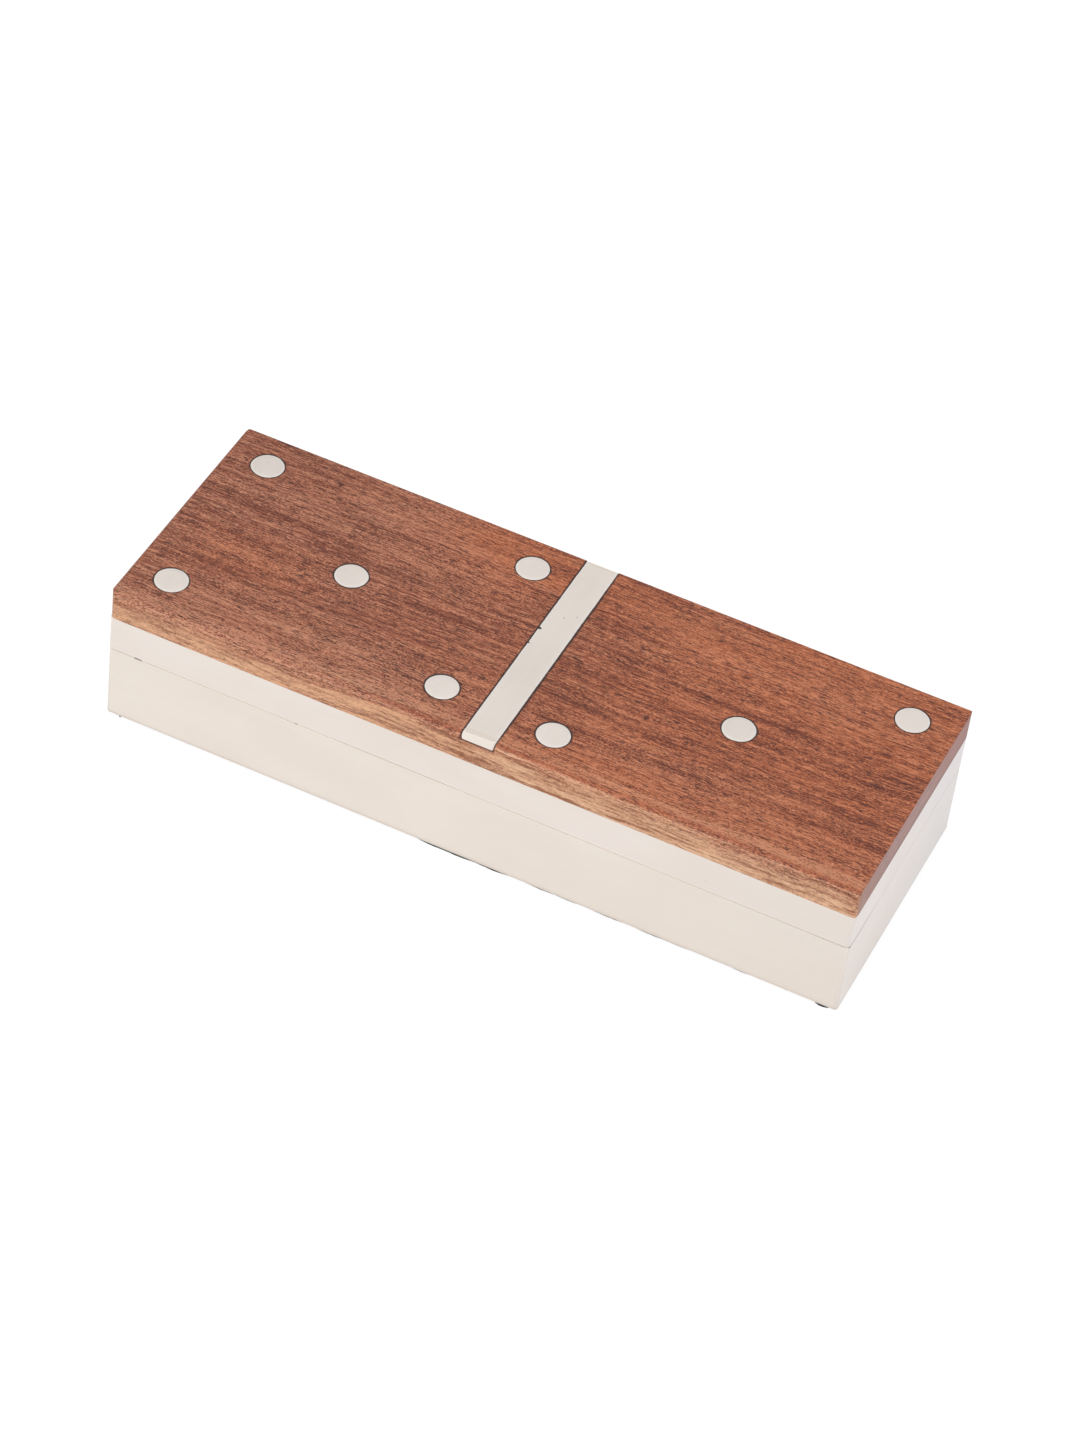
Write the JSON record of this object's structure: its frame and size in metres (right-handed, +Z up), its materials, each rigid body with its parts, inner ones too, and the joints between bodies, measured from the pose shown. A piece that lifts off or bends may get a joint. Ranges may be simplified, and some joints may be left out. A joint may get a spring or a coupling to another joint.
{
  "type": "domino storage box",
  "caption": "Shallow wooden domino box faced with cream sheets; its hinged wooden lid is inlaid with pips and a divider strip, like a large domino.",
  "frame": {"origin": "centre of the underside of the felt that the box stands on, midway along and across the box's sides", "axes": "+X along the box, to the right when the front is faced; -Y to the front; +Y to the back, where the hinges are; +Z up"},
  "size_m": [0.2002, 0.0761, 0.0411],
  "materials": {
    "cream_sheet": "satin, polished cream resin or bone",
    "inlay": "satin, polished cream resin or bone",
    "top_wood": "oiled reddish-brown hardwood, fine dark pores",
    "board_wood": "plain sanded light hardwood",
    "felt": "near-black green wool felt",
    "brass": "satin drawn brass"
  },
  "bodies": {
    "base": {"base_front_board": "board_wood", "base_back_board": "board_wood", "base_left_board": "board_wood", "base_right_board": "board_wood", "base_front_sheet": "cream_sheet", "base_back_sheet": "cream_sheet", "base_left_sheet": "cream_sheet", "base_right_sheet": "cream_sheet", "floor_panel": "board_wood", "floor_lining": "felt", "foot_felt": "felt", "left_hinge_base_leaf": "brass", "left_hinge_pin": "brass", "left_hinge_base_screws": "brass", "right_hinge_base_leaf": "brass", "right_hinge_pin": "brass", "right_hinge_base_screws": "brass"},
    "lid": {"lid_front_board": "board_wood", "lid_back_board": "board_wood", "lid_left_board": "board_wood", "lid_right_board": "board_wood", "lid_front_sheet": "cream_sheet", "lid_back_sheet": "cream_sheet", "lid_left_sheet": "cream_sheet", "lid_right_sheet": "cream_sheet", "lid_top": "top_wood", "divider_strip": "inlay", "left_pip_1": "inlay", "left_pip_2": "inlay", "left_pip_3": "inlay", "left_pip_4": "inlay", "left_pip_5": "inlay", "right_pip_1": "inlay", "right_pip_2": "inlay", "right_pip_3": "inlay", "left_hinge_lid_leaf": "brass", "left_hinge_lid_screws": "brass", "right_hinge_lid_leaf": "brass", "right_hinge_lid_screws": "brass"}
  },
  "joints": [
    {"name": "lid_hinge", "type": "hinge", "parent": "base", "child": "lid", "pos_m": [0, 0.0382, 0.02268], "axis": [-1, 0, 0], "range_deg": [0, 180]}
  ]
}
